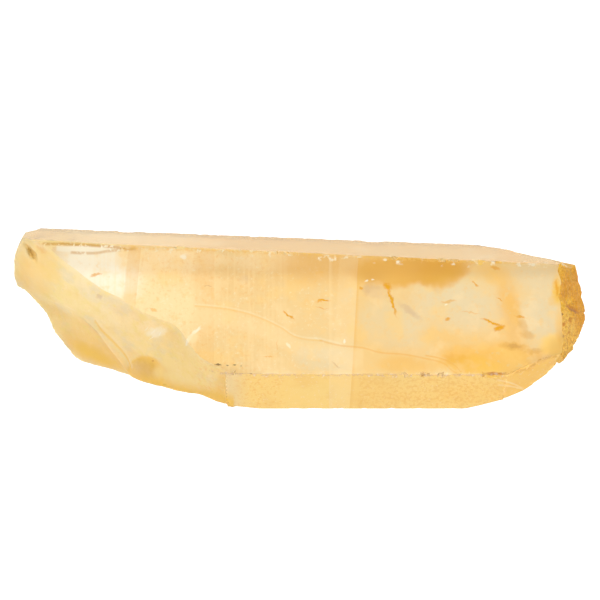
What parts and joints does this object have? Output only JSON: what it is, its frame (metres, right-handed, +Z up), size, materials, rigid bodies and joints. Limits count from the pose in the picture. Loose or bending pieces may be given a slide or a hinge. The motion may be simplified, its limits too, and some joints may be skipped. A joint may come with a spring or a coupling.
{
  "type": "quartz crystal point",
  "caption": "Six-sided golden quartz crystal lying on a prism face, with a slanting frosted point at one end and a rough broken base at the other.",
  "frame": {"origin": "centre of the bounding box, on the surface the crystal lies on", "axes": "+Z up, +X along the crystal towards the broken base, -Y towards its widest clear face"},
  "size_m": [0.0814, 0.0238, 0.0228],
  "materials": {
    "quartz": "see-through golden quartz with milky and iron-stained zones, frosted on the slanting end face and on the broken base"
  },
  "bodies": {
    "root": {"crystal_point": "quartz"}
  },
  "joints": []
}
